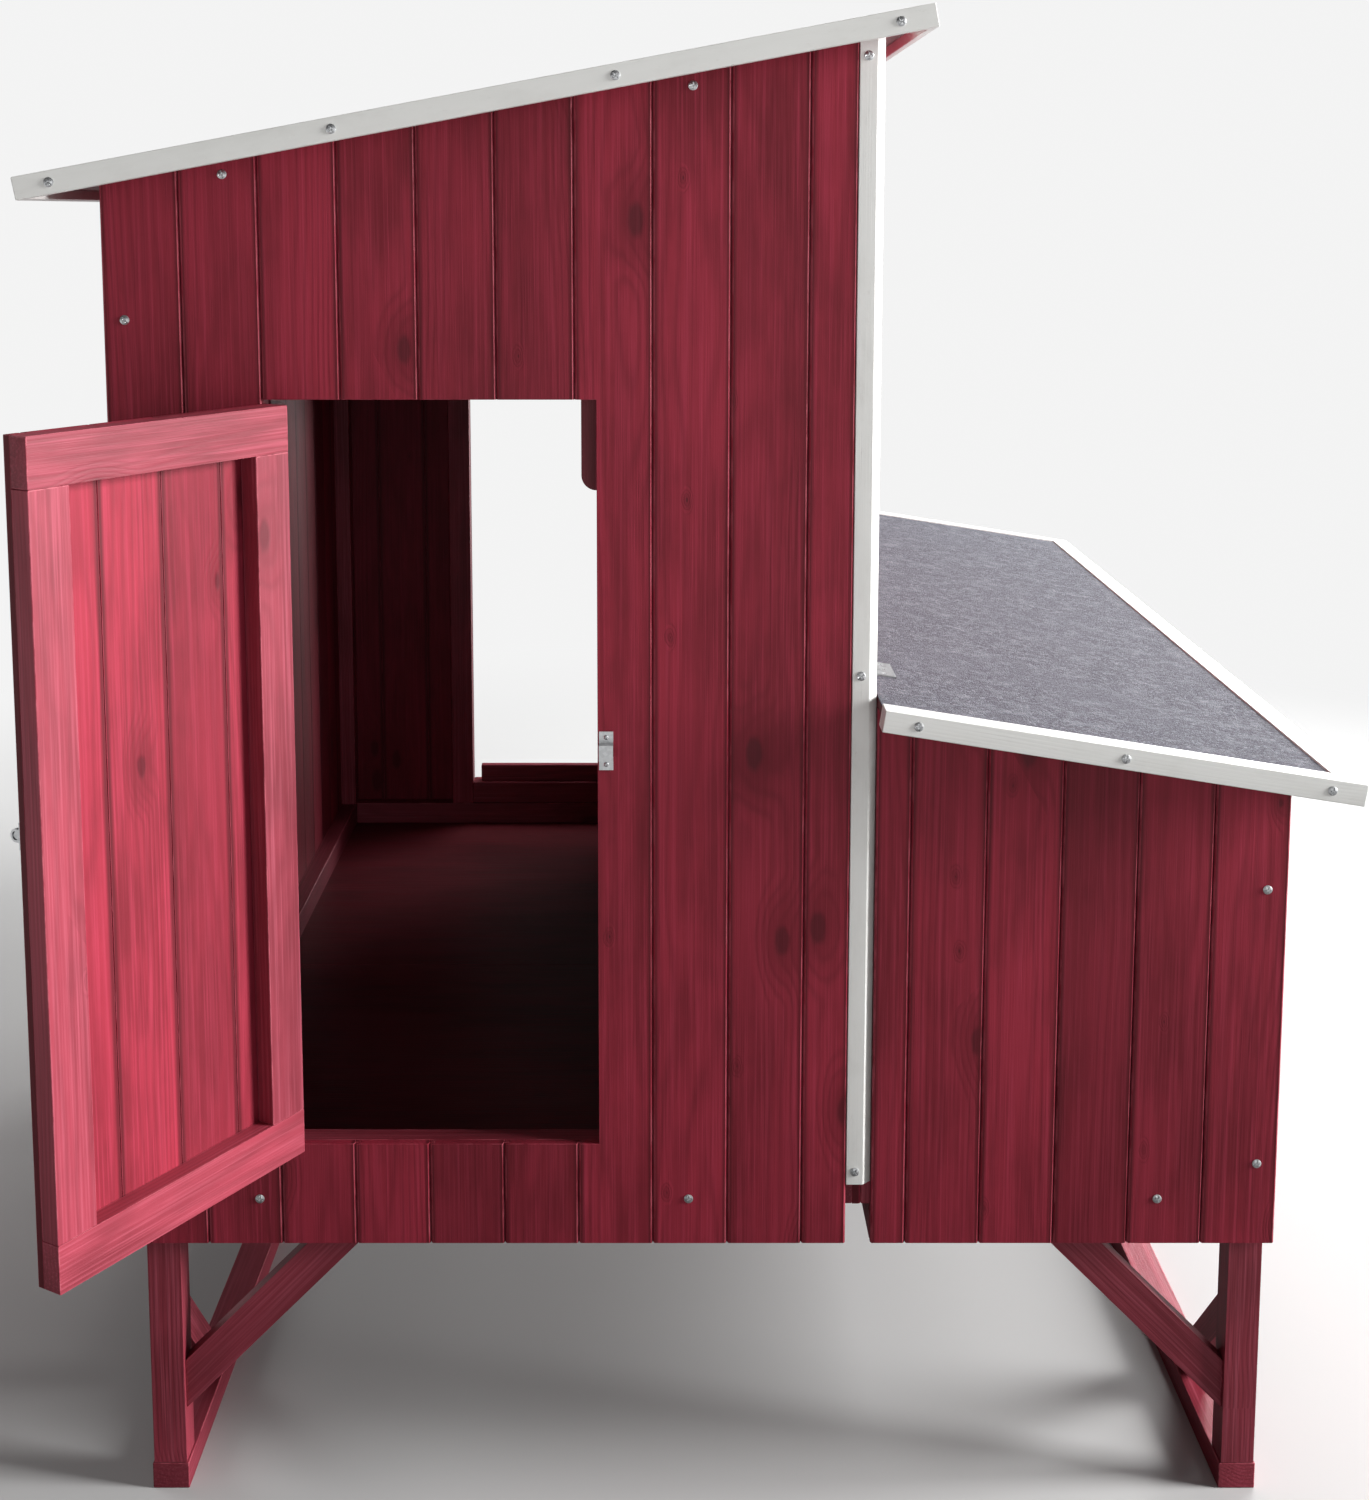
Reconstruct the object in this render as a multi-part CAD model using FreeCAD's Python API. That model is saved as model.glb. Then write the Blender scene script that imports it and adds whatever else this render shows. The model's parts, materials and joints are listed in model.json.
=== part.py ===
"""Timber chicken coop on skids: a house with two doors and a four-nest box with a lifting lid.

Millimetres, +Z up. While building, x runs right from the left wall's outer face, y runs back
from the front wall's outer face and z is the height above the ground. place() moves every
piece so that the origin is under the middle of the assembly.
"""
import FreeCAD, Part
from FreeCAD import Vector
import math
import os

# ---- overall sizes -------------------------------------------------------------------------
house_width = 750.0          # left wall's outer face to the right face of the corner trims
house_depth = 1330.0         # front wall's outer face to the back wall's outer face
nest_projection = 413.0      # how far the nest box stands out from the corner trims
skirt_height = 276.0         # ground to the lower edge of the wall boards
floor_height = 314.0         # ground to the top of the floor
eave_height = 1353.0         # ground to the top edge of the roof at its low end
roof_pitch = 10.5            # degrees, rising to the right
roof_overhang_low = 65.0
roof_overhang_high = 38.0
roof_overhang_ends = 58.0    # past the front and back walls, also on the nest lid
lid_height = 848.0           # ground to the lid's top edge beside the house
lid_pitch = 9.0              # degrees, falling to the right
lid_overhang = 55.0          # past the nest box's outer wall

# ---- timber --------------------------------------------------------------------------------
board_cover = 75.5           # width that each tongue-and-groove board covers
board_thickness = 9.0
board_joint = 0.8            # open joint between two board faces
board_chamfer = 1.6
board_sliver = 12.0          # a joint nearer than this to a run's end is left out
tongue_length = 4.5
tongue_thickness = 2.6
tongue_play = 0.4
tongue_offset = 0.5          # tongue's middle behind the board's middle
batten_depth = 24.0          # frame battens, measured through the wall
batten_width = 34.0          # frame battens, measured along the wall
floor_thickness = 9.0
bearer_width = 34.0

# ---- corner trims, roof edges and lid edges ------------------------------------------------
trim_width = 25.0
trim_thickness = 9.0
trim_chamfer = 8.0
trim_foot = 25.0             # the trims end this far above the floor
fascia_height = 22.0
fascia_thickness = 10.0
felt_thickness = 2.0
roof_felt_recess = 2.0       # roof felt lies this far below the top edge of the fascias
lid_start = 2.0              # gap between the corner trims' face and the lid
lid_play = 0.5               # between the closed lid and what lies under it
lid_trim_width = 28.0
lid_trim_height = 22.0
lid_felt_recess = 2.0

# ---- legs, skids and braces ----------------------------------------------------------------
leg_section = 34.0
skid_width = 38.0
skid_height = 28.0
face_brace_width = 37.0
face_brace_thickness = 22.0
face_brace_reach = 190.0     # from the leg to the brace's outer corner under the skirt
skid_brace_width = 34.0
skid_brace_thickness = 24.0
skid_brace_reach = 176.0     # from the leg to the brace's far end on the skid

# ---- doorways and doors --------------------------------------------------------------------
doorway_width = 323.0
doorway_sill = 383.0
doorway_height = 758.0
front_doorway_boards = 2     # whole boards between the left corner and the front doorway
back_doorway_boards = 3      # the same for the back doorway, seen from the front
door_gap = 3.0
door_frame_thickness = 20.0
door_frame_width = 45.0
door_open_angle = 121.5
threshold_height = 27.0
threshold_thickness = 14.0
threshold_end_gap = 13.0
stop_width = 36.0
stop_height = 110.0
stop_thickness = 12.0
stop_overlap = 16.0
stop_corner_radius = 15.0

# ---- hinges --------------------------------------------------------------------------------
hinge_length = 62.0
hinge_leaf_width = 24.0
hinge_leaf_thickness = 1.5
hinge_knuckle_radius = 3.5
hinge_pin_radius = 1.6
hinge_play = 0.3
hinge_hole_reach = 16.7      # hinge axis to the middle of its screw holes
hinge_hole_end = 11.2        # hinge's end to the middle of the nearest hole
hinge_countersink = 1.4      # how much wider a hole is at the leaf's face
pin_head_lip = 0.9
pin_head_height = 1.4
door_hinge_inset = 95.0      # doorway's end to the hinge's middle
lid_hinge_inset = 131.0      # front and back walls' faces to the hinge's middle
hinge_rail_height = 88.0
hinge_rail_foot = 48.0       # the hinge rail reaches this far below the lid's top edge

# ---- door bolts ----------------------------------------------------------------------------
bolt_height = 793.0
bolt_radius = 3.5
bolt_play = 0.4
bolt_plate_length = 62.0
bolt_plate_height = 24.0
bolt_plate_thickness = 1.5
bolt_plate_setback = 2.0     # plate's end to the door's free edge
bolt_nose_setback = 3.0      # nose of the drawn bolt to the door's free edge
bolt_rod_length = 84.0
bolt_stem_radius = 3.0
bolt_stem_gap = 1.0          # the drawn bolt's stem to the guide behind it
bolt_knob_radius = 5.0
bolt_knob_reach = 20.0       # knob's end to the door's face
bolt_axis_stand = 6.0        # bolt's axis to the door's face
barrel_wall = 2.0
barrel_length = 14.0
keeper_width = 14.0
keeper_height = 39.0
keeper_gap = 1.5             # doorway's edge to the keeper
keeper_bridge = 16.0         # height of the keeper's raised bridge
keeper_strap = 1.8

# ---- nest box and inside -------------------------------------------------------------------
nest_count = 4
divider_thickness = 9.0
divider_top_gap = 70.0
nest_hole_foot = 34.0        # board left standing under each nest hole
nest_hole_height = 300.0
nest_hole_margin = 30.0      # board left standing on each side of a divider
perch_width = 44.0
perch_depth = 34.0
perch_height = 560.0
perch_gap = 79.0             # perch to the high side wall's frame
perch_rounding = 8.5
perch_play = 1.0
perch_bracket_thickness = 20.0
perch_bracket_wall = 16.0
perch_bracket_height = 70.0
rafter_count = 2
rafter_width = 24.0
rafter_depth = 34.0

# ---- screws --------------------------------------------------------------------------------
screw_head_radius = 4.6
screw_head_height = 2.0
screw_shank_radius = 1.8
screw_recess_width = 1.2
screw_recess_length = 4.6
screw_recess_depth = 1.2
top_screw_shares = (0.163, 0.782)        # of the front boards' width, in the top rail
foot_screw_shares = (0.177, 0.779)       # the same in the bottom rail
foot_screw_share = 0.3                   # of the bottom rail's height
post_screw_drop = 135.0                  # the low post's upper screw below the eave
post_screw_rise = 326.0                  # its lower screw above the floor
nest_screw_drop = 123.0                  # the nest post's upper screw below the lid
nest_screw_rise = 48.0                   # its lower screw above the floor
nest_screw_inset = 100.0                 # the nest's bottom screw to its post
side_screw_shares = (0.06, 0.28, 0.5, 0.72, 0.94)    # of the house's depth
trim_screw_foot = 14.0                   # corner trim's lower end to its lowest screw
trim_screw_lid = 20.0                    # lid's top edge to the trim's middle screw
trim_screw_top = 20.0                    # roof deck to the trim's highest screw
edge_screw_inset = 34.0                  # ends of the roof's and lid's edge boards to a screw
fascia_screw_count = 4
lid_edge_screw_count = 3

# ---- worked out ----------------------------------------------------------------------------
nest_outer = house_width + nest_projection
board_right = house_width - trim_width                 # where the front boards stop
side_face = house_width - trim_thickness               # right wall boards' outer face
wall_thickness = board_thickness + batten_depth
frame_left = board_thickness                           # left wall frame's outer face
frame_right = side_face - board_thickness              # right wall frame's outer face
frame_back = house_depth - board_thickness
roof_tan = math.tan(math.radians(roof_pitch))
lid_tan = math.tan(math.radians(lid_pitch))
deck_drop = roof_felt_recess + felt_thickness + board_thickness
roof_run = roof_overhang_low + house_width + roof_overhang_high
roof_length = roof_run / math.cos(math.radians(roof_pitch))
lid_run = nest_projection + lid_overhang - lid_start
lid_length = lid_run / math.cos(math.radians(lid_pitch))
hinge_stand = hinge_knuckle_radius + hinge_play        # hinge axis to the face it is on
lid_axis_x = house_width + hinge_stand
lid_axis_z = lid_height - lid_felt_recess + hinge_stand
door_axis_y = -hinge_stand
door_width = doorway_width - 2 * door_gap
door_thickness = board_thickness + door_frame_thickness
doorway_top = doorway_sill + doorway_height
front_doorway_left = front_doorway_boards * board_cover
back_doorway_left = back_doorway_boards * board_cover
back_joint_boards = math.ceil((2 * back_doorway_left + doorway_width) / board_cover)
centre_x = (-roof_overhang_low + nest_outer + lid_overhang) / 2
centre_y = house_depth / 2
near = 0.1                                             # two places closer than this are one
HUGE = 6000.0


# ---- small tools ---------------------------------------------------------------------------
def box(x0, x1, y0, y1, z0, z1):
    """A box between two corners."""
    return Part.makeBox(x1 - x0, y1 - y0, z1 - z0, Vector(x0, y0, z0))


def prism_xy(points, z0, z1):
    """A prism that stands on an outline in plan."""
    wire = Part.makePolygon([Vector(x, y, z0) for x, y in points + points[:1]])
    return Part.Face(wire).extrude(Vector(0, 0, z1 - z0))


def prism_xz(points, y0, y1):
    """A prism along y with an outline seen from the front."""
    wire = Part.makePolygon([Vector(x, y0, z) for x, z in points + points[:1]])
    return Part.Face(wire).extrude(Vector(0, y1 - y0, 0))


def prism_yz(points, x0, x1):
    """A prism along x with an outline seen from the side."""
    wire = Part.makePolygon([Vector(x0, y, z) for y, z in points + points[:1]])
    return Part.Face(wire).extrude(Vector(x1 - x0, 0, 0))


def turned(shape, angle, axis, centre):
    """A copy turned about an axis through a point."""
    copy = shape.copy()
    copy.rotate(centre, axis, angle)
    return copy


def mirrored_y(shapes):
    """The same pieces at the other end of the house."""
    return [s.mirror(Vector(0, house_depth / 2, 0), Vector(0, 1, 0)) for s in shapes]


def solids(shapes):
    """Every solid in a list of shapes, apart from empty results."""
    return [s for shape in shapes for s in shape.Solids]


def cut_all(shapes, tools):
    """Each shape without the tools."""
    result = []
    for shape in shapes:
        for tool in tools:
            shape = shape.cut(tool)
        result.extend(shape.Solids)
    return result


def place(shape):
    """Moves a finished piece from building coordinates to the part's own frame."""
    copy = shape.copy()
    copy.translate(Vector(-centre_x, -centre_y, 0))
    return copy


def write(name, shapes):
    """Writes one sub-part, as one solid or as a group of separate solids."""
    pieces = [place(s) for s in solids(shapes)]
    for piece in pieces:
        if not piece.isValid():
            raise ValueError("invalid solid in " + name)
    shape = pieces[0] if len(pieces) == 1 else Part.makeCompound(pieces)
    shape.exportStep("parts/" + name + ".step")


# ---- roof and lid planes -------------------------------------------------------------------
def deck_underside(x):
    """Height of the roof deck's lower face."""
    drop = deck_drop / math.cos(math.radians(roof_pitch))
    return eave_height + (x + roof_overhang_low) * roof_tan - drop


def lid_underside(x):
    """Height of the closed lid's lower face."""
    stand = hinge_stand + felt_thickness + board_thickness
    drop = stand / math.cos(math.radians(lid_pitch))
    return lid_axis_z - (x - lid_axis_x) * lid_tan - drop


def below_roof(margin=0.0):
    """Everything under the roof deck."""
    left, right = -HUGE / 2, HUGE / 2
    outline = [(left, -HUGE), (right, -HUGE), (right, deck_underside(right) - margin),
               (left, deck_underside(left) - margin)]
    return prism_xz(outline, -HUGE, HUGE)


def below_lid(margin=lid_play):
    """Everything under the closed lid."""
    left, right = -HUGE / 2, HUGE
    outline = [(left, -HUGE), (right, -HUGE), (right, lid_underside(right) - margin),
               (left, lid_underside(left) - margin)]
    return prism_xz(outline, -HUGE, HUGE)


# ---- boards --------------------------------------------------------------------------------
def board_section(start, end, tongue, groove):
    """A board's section: along the wall from its start to its end, then into the wall.

    The tongue is on the end's side and the groove on the start's side.
    """
    left = start + board_joint / 2
    right = end - board_joint / 2
    middle = board_thickness / 2 + tongue_offset
    low, high = middle - tongue_thickness / 2, middle + tongue_thickness / 2
    points = [(left, board_chamfer), (left + board_chamfer, 0),
              (right - board_chamfer, 0), (right, board_chamfer)]
    if tongue:
        tip = end + board_joint / 2 + tongue_length
        points += [(right, low), (tip, low), (tip, high), (right, high)]
    points += [(right, board_thickness), (left, board_thickness)]
    if groove:
        root = left + tongue_length + tongue_play
        points += [(left, high + tongue_play), (root, high + tongue_play),
                   (root, low - tongue_play), (left, low - tongue_play)]
    return points


def board_run(first, start, end, bottom, top):
    """Boards side by side from start to end, with joints counted from first."""
    joints = [start]
    count = math.ceil((start - first + board_sliver) / board_cover)
    while first + count * board_cover < end - board_sliver:
        joints.append(first + count * board_cover)
        count += 1
    joints.append(end)
    boards = []
    for number in range(len(joints) - 1):
        tongue = number < len(joints) - 2
        section = board_section(joints[number], joints[number + 1], tongue, number > 0)
        boards.append(prism_xy(section, bottom, top))
    return boards


def stand_right(shapes, x):
    """Turns a run of boards to face right at x, counted from the front."""
    return [turned(s, 90, Vector(0, 0, 1), Vector(0, 0, 0)).translated(Vector(x, 0, 0))
            for s in shapes]


def stand_left(shapes, x):
    """Turns a run of boards to face left at x, counted from the back."""
    return [turned(s, -90, Vector(0, 0, 1), Vector(0, 0, 0))
            .translated(Vector(x, house_depth, 0)) for s in shapes]


def doorway(left):
    """The space that a doorway takes out of the front wall."""
    return box(left, left + doorway_width, -HUGE, house_depth / 2, doorway_sill, doorway_top)


def gable_boards(doorway_left):
    """The front wall's boards, with a doorway; the back wall mirrors them."""
    boards = board_run(0.0, 0.0, board_right, skirt_height, HUGE / 2)
    boards = [b.common(below_roof()) for b in boards]
    return cut_all(boards, [doorway(doorway_left)])


def left_boards():
    """The low side wall's boards, between the front and back walls' boards."""
    top = deck_underside(0.0)
    run = board_run(0.0, board_thickness, frame_back, skirt_height, top)
    return stand_left(run, 0.0)


def nest_pitch():
    """Distance from one nest to the next."""
    return (frame_back - board_thickness) / nest_count


def divider_middles():
    """The y of each divider's middle."""
    return [board_thickness + n * nest_pitch() for n in range(1, nest_count)]


def nest_holes():
    """One opening from the house into each nest."""
    low = floor_height + nest_hole_foot
    holes = []
    for n in range(nest_count):
        start = board_thickness + n * nest_pitch() + nest_hole_margin
        end = board_thickness + (n + 1) * nest_pitch() - nest_hole_margin
        if n == 0:
            start = wall_thickness + nest_hole_margin / 2
        if n == nest_count - 1:
            end = house_depth - wall_thickness - nest_hole_margin / 2
        holes.append(box(0.0, house_width, start, end, low, low + nest_hole_height))
    return holes


def right_boards():
    """The high side wall's boards, open to the nests."""
    top = deck_underside(frame_right)
    run = board_run(0.0, board_thickness, frame_back, floor_height, top)
    return cut_all(stand_right(run, side_face), nest_holes())


def nest_end_boards():
    """The nest box's front wall, with joints counted from its outer corner."""
    count = math.ceil(nest_projection / board_cover)
    first = nest_outer - count * board_cover
    boards = board_run(first, house_width, nest_outer, skirt_height, HUGE / 2)
    return [b.common(below_lid()) for b in boards]


def nest_outer_boards():
    """The nest box's long outer wall."""
    top = lid_underside(nest_outer) - lid_play
    run = board_run(0.0, board_thickness, frame_back, skirt_height, top)
    return stand_right(run, nest_outer)


# ---- wall frames ---------------------------------------------------------------------------
def gable_frame(doorway_left):
    """Battens behind the front boards, around the doorway, and one to carry the perch."""
    y0, y1 = board_thickness, wall_thickness
    x0, x1 = frame_left + batten_depth, frame_right - batten_depth
    jambs = (doorway_left, doorway_left + doorway_width)
    pieces = [box(x0, x1, y0, y1, floor_height, floor_height + batten_width)]
    pieces.append(box(jambs[0], jambs[1], y0, y1, doorway_sill - batten_width, doorway_sill))
    pieces.append(box(jambs[0], jambs[1], y0, y1, doorway_top, doorway_top + batten_width))
    low = floor_height + batten_width
    for edge in (jambs[0] - batten_width, jambs[1]):
        stile = box(edge, edge + batten_width, y0, y1, low, HUGE / 2)
        pieces.append(stile.common(below_roof(batten_width)))
    rail = box(x0, x1, y0, y1, low, HUGE / 2).common(below_roof())
    pieces.append(rail.cut(below_roof(batten_width)))
    ledger = floor_height + perch_height - perch_depth - batten_width
    pieces.append(box(jambs[1] + batten_width, x1, y0, y1, ledger, ledger + batten_width))
    return solids(pieces)


def side_frame(x0, top, foot, rails):
    """Battens of a side wall: rails along it and stiles between them."""
    x1 = x0 + batten_depth
    y0, y1 = board_thickness, frame_back
    levels = [foot] + rails + [top - batten_width]
    pieces = [box(x0, x1, y0, y1, z, z + batten_width) for z in levels]
    middles = [y0 + batten_width / 2] + divider_middles()[1:2] + [y1 - batten_width / 2]
    for low, high in zip(levels[:-1], levels[1:]):
        if high - low - batten_width < 1.0:
            continue
        for y in middles:
            pieces.append(box(x0, x1, y - batten_width / 2, y + batten_width / 2,
                              low + batten_width, high))
    return pieces


def left_frame():
    """The low side wall's battens."""
    return side_frame(frame_left, deck_underside(frame_left), floor_height, [])


def right_frame():
    """The high side wall's battens, with a rail above the nest holes."""
    head = floor_height + nest_hole_foot + nest_hole_height
    top = deck_underside(frame_right - batten_depth)
    return side_frame(frame_right - batten_depth, top, floor_height, [head])


def nest_frame():
    """Battens of the nest box: corner posts, top rails and the floor rail."""
    y0, y1 = board_thickness, wall_thickness
    x0, x1 = nest_outer - board_thickness - batten_depth, nest_outer - board_thickness
    shut = below_lid()
    inner = box(side_face, side_face + batten_width, y0, y1, floor_height, HUGE / 3)
    outer = box(x0, x1, y0, y0 + batten_width, floor_height, HUGE / 3)
    inner = inner.common(below_lid(batten_width))
    outer = outer.common(below_lid(batten_width))
    rail = box(side_face, x1, y0, y1, floor_height, HUGE / 3)
    rail = rail.common(shut).cut(below_lid(batten_width))
    foot = box(side_face + batten_width, x0, y0, y1, floor_height,
               floor_height + batten_width)
    ends = [inner, outer, rail, foot]
    top = lid_underside(x1) - lid_play
    y0, y1 = board_thickness + batten_width, frame_back - batten_width
    along = box(x0, x1, y0, y1, top - batten_width, top)
    base = box(x0, x1, y0, y1, floor_height, floor_height + batten_width)
    return cut_all(ends + mirrored_y(ends) + [along, base], [hinge_rail()])


# ---- floor ---------------------------------------------------------------------------------
def floor_halves():
    """Two floor panels that meet under the middle of the house."""
    z0 = floor_height - floor_thickness
    middle = house_depth / 2
    front = box(board_thickness, board_right, board_thickness, middle - board_joint / 2,
                z0, floor_height)
    return front, mirrored_y([front])[0]


def nest_floor():
    """The floor under the nests, with room for the legs' tops below it."""
    z0 = floor_height - floor_thickness
    return [box(house_width, nest_outer - board_thickness, board_thickness, frame_back,
                z0, floor_height)]


def bearers():
    """Joists under the floor: across the ends and the middle, and along the inner edges."""
    z1 = floor_height - floor_thickness
    z0 = skirt_height
    leg_inner = board_thickness + leg_section
    right = nest_outer - board_thickness - leg_section
    ends = [box(leg_inner, board_right, board_thickness, leg_inner, z0, z1),
            box(house_width, right, board_thickness, leg_inner, z0, z1)]
    y0 = house_depth / 2 - bearer_width / 2
    middle = [box(leg_inner, board_right - bearer_width, y0, y0 + bearer_width, z0, z1),
              box(house_width + bearer_width, right, y0, y0 + bearer_width, z0, z1)]
    back = house_depth - leg_inner
    long_x = [board_thickness, board_right - bearer_width, house_width, right]
    along = [box(x, x + bearer_width, leg_inner, back, z0, z1) for x in long_x]
    return ends + mirrored_y(ends) + middle + along


# ---- legs, skids and braces ----------------------------------------------------------------
def leg_lefts():
    """The x of the left face of the left and the right legs."""
    return board_thickness, nest_outer - board_thickness - leg_section


def leg(x):
    """A front leg, from its skid to the floor panel."""
    y0 = board_thickness
    return box(x, x + leg_section, y0, y0 + leg_section, skid_height,
               floor_height - floor_thickness)


def skid(x):
    """A ground rail under a pair of legs."""
    middle = x + leg_section / 2
    return box(middle - skid_width / 2, middle + skid_width / 2, board_thickness,
               frame_back, 0.0, skid_height)


def face_brace(x, side):
    """A brace in the front plane, from a leg up to the bearer; side is 1 to go right."""
    edge = x + leg_section if side > 0 else x
    far = face_brace_reach
    tall = face_brace_width * math.sqrt(2)
    top = skirt_height
    outline = [(edge, top - far), (edge + side * far, top),
               (edge + side * (far - tall), top), (edge, top - far + tall)]
    y0 = board_thickness + (leg_section - face_brace_thickness) / 2
    return prism_xz(outline, y0, y0 + face_brace_thickness)


def skid_brace(x):
    """A brace above a skid, from the skid up to the leg."""
    start = board_thickness + leg_section
    tall = skid_brace_width * math.sqrt(2)
    far = start + skid_brace_reach
    outline = [(start, skid_height + skid_brace_reach - tall),
               (far - tall, skid_height), (far, skid_height),
               (start, skid_height + skid_brace_reach)]
    middle = x + leg_section / 2
    return prism_yz(outline, middle - skid_brace_thickness / 2,
                    middle + skid_brace_thickness / 2)


# ---- corner trims --------------------------------------------------------------------------
def corner_trim():
    """White boards on the corner above the nest box: one in front and one on the side."""
    foot = floor_height + trim_foot
    outline = [(board_right, 0), (house_width - trim_chamfer, 0),
               (house_width, trim_chamfer), (house_width, trim_thickness),
               (board_right, trim_thickness)]
    front = prism_xy(outline, foot, HUGE / 2).common(below_roof())
    low = lid_height + hinge_rail_height - hinge_rail_foot
    side = box(side_face, house_width, trim_thickness, trim_thickness + trim_width,
               low, HUGE / 2).common(below_roof())
    return solids([front, side])


def hinge_rail():
    """The batten on the high side wall that carries the lid's hinges."""
    low = lid_height - hinge_rail_foot
    return box(side_face, house_width, trim_thickness, house_depth - trim_thickness,
               low, low + hinge_rail_height)


# ---- roof ----------------------------------------------------------------------------------
def tilt_roof(shapes):
    """Tilts level roof pieces, drawn from the low end with their top at zero."""
    low_end = Vector(-roof_overhang_low, 0, eave_height)
    return [turned(s.translated(low_end), -roof_pitch, Vector(0, 1, 0), low_end)
            for s in shapes]


def deck(start, end, y0, y1, top):
    """Deck boards side by side along the slope, with their chamfered faces down."""
    boards = []
    for b in board_run(0.0, 0.0, end - start, 0.0, y1 - y0):
        b.rotate(Vector(0, 0, 0), Vector(0, 1, 0), 180)
        b.rotate(Vector(0, 0, 0), Vector(1, 0, 0), 90)
        boards.append(b.translated(Vector(end, y0, top - board_thickness)))
    return boards


def roof_edges():
    """The plan edges of the roof: front and back."""
    return -roof_overhang_ends, house_depth + roof_overhang_ends


def roof_deck():
    """Boards between the fascias."""
    y0, y1 = roof_edges()
    inset = fascia_thickness
    return tilt_roof(deck(inset, roof_length - inset, y0 + inset, y1 - inset,
                          -roof_felt_recess - felt_thickness))


def roof_felt():
    """The mineral felt on the deck."""
    y0, y1 = roof_edges()
    inset = fascia_thickness
    return tilt_roof([box(inset, roof_length - inset, y0 + inset, y1 - inset,
                          -roof_felt_recess - felt_thickness, -roof_felt_recess)])


def roof_fascias():
    """White edge boards by name."""
    y0, y1 = roof_edges()
    t = fascia_thickness
    ends = {"front": box(0, roof_length, y0, y0 + t, -fascia_height, 0),
            "back": box(0, roof_length, y1 - t, y1, -fascia_height, 0),
            "low": box(0, t, y0 + t, y1 - t, -fascia_height, 0),
            "high": box(roof_length - t, roof_length, y0 + t, y1 - t, -fascia_height, 0)}
    return {name: tilt_roof([shape]) for name, shape in ends.items()}


def rafters():
    """Two rafters under the deck, between the side walls' frames."""
    pieces = []
    for number in range(1, rafter_count + 1):
        y = house_depth * number / (rafter_count + 1)
        bar = box(frame_left + batten_depth, frame_right - batten_depth,
                  y - rafter_width / 2, y + rafter_width / 2, floor_height, HUGE / 2)
        pieces.append(bar.common(below_roof()).cut(below_roof(rafter_depth)))
    return solids(pieces)


# ---- nest lid ------------------------------------------------------------------------------
def tilt_lid(shapes):
    """Tilts level lid pieces, drawn from the hinge axis, to the closed lid's slope."""
    axis = Vector(lid_axis_x, 0, lid_axis_z)
    return [turned(s.translated(axis), lid_pitch, Vector(0, 1, 0), axis) for s in shapes]


def lid_span():
    """The lid's start and end, measured from the hinge axis down the slope."""
    return house_width + lid_start - lid_axis_x, house_width + lid_start - lid_axis_x + lid_length


def lid_panel():
    """The lid's boards."""
    u0, u1 = lid_span()
    y0, y1 = roof_edges()
    w = lid_trim_width
    return tilt_lid(deck(u0, u1 - w, y0 + w, y1 - w, -hinge_stand - felt_thickness))


def lid_felt():
    """The lid's mineral felt."""
    u0, u1 = lid_span()
    y0, y1 = roof_edges()
    w = lid_trim_width
    return tilt_lid([box(u0, u1 - w, y0 + w, y1 - w, -hinge_stand - felt_thickness,
                         -hinge_stand)])


def lid_trims():
    """White battens around the lid's three free edges."""
    u0, u1 = lid_span()
    y0, y1 = roof_edges()
    w = lid_trim_width
    top = lid_felt_recess - hinge_stand
    low = top - lid_trim_height
    return tilt_lid([box(u0, u1, y0, y0 + w, low, top), box(u0, u1, y1 - w, y1, low, top),
                     box(u1 - w, u1, y0 + w, y1 - w, low, top)])


# ---- hinges --------------------------------------------------------------------------------
def hinge_leaf(side, own, others, bore_radius):
    """A leaf beside an upright axis at the origin, on a face at y = hinge_stand."""
    y1 = hinge_stand
    reach = side * (hinge_knuckle_radius + hinge_leaf_width)
    leaf = box(min(0, reach), max(0, reach), y1 - hinge_leaf_thickness, y1, 0, hinge_length)
    room = hinge_stand + hinge_play
    for low, high in others:
        leaf = leaf.cut(box(-room, room, -room, room, low - hinge_play, high + hinge_play))
    for low, high in own:
        knuckle = Part.makeCylinder(hinge_knuckle_radius, high - low, Vector(0, 0, low))
        leaf = leaf.fuse(knuckle)
    for z in (hinge_hole_end, hinge_length / 2, hinge_length - hinge_hole_end):
        leaf = leaf.cut(Part.makeCone(screw_shank_radius, screw_shank_radius + hinge_countersink,
                                      hinge_leaf_thickness, Vector(side * hinge_hole_reach, y1, z),
                                      Vector(0, -1, 0)))
    bore = Part.makeCylinder(bore_radius, 3 * hinge_length, Vector(0, 0, -hinge_length))
    return leaf.cut(bore).removeSplitter()


def hinge_pin():
    """The headed pin that stays in the fixed knuckles."""
    head = Part.makeCylinder(hinge_pin_radius + pin_head_lip, pin_head_height,
                             Vector(0, 0, hinge_length))
    pin = Part.makeCylinder(hinge_pin_radius, hinge_length, Vector(0, 0, 0))
    return pin.fuse(head).removeSplitter()


def hinge():
    """A butt hinge about an upright axis: its fixed leaf and pin, and its moving leaf."""
    third = hinge_length / 3
    outer = [(0, third - hinge_play / 2), (2 * third + hinge_play / 2, hinge_length)]
    middle = [(third + hinge_play / 2, 2 * third - hinge_play / 2)]
    fixed = [hinge_leaf(-1, outer, middle, hinge_pin_radius), hinge_pin()]
    return fixed, [hinge_leaf(1, middle, outer, hinge_pin_radius + hinge_play)]


def door_hinges(doorway_left):
    """The front door's two hinges with the door closed."""
    fixed, moving = [], []
    for z in (doorway_sill + door_hinge_inset, doorway_top - door_hinge_inset):
        spot = Vector(doorway_left + door_gap / 2, door_axis_y, z - hinge_length / 2)
        still, swinging = hinge()
        fixed += [s.translated(spot) for s in still]
        moving += [s.translated(spot) for s in swinging]
    return fixed, moving


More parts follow.
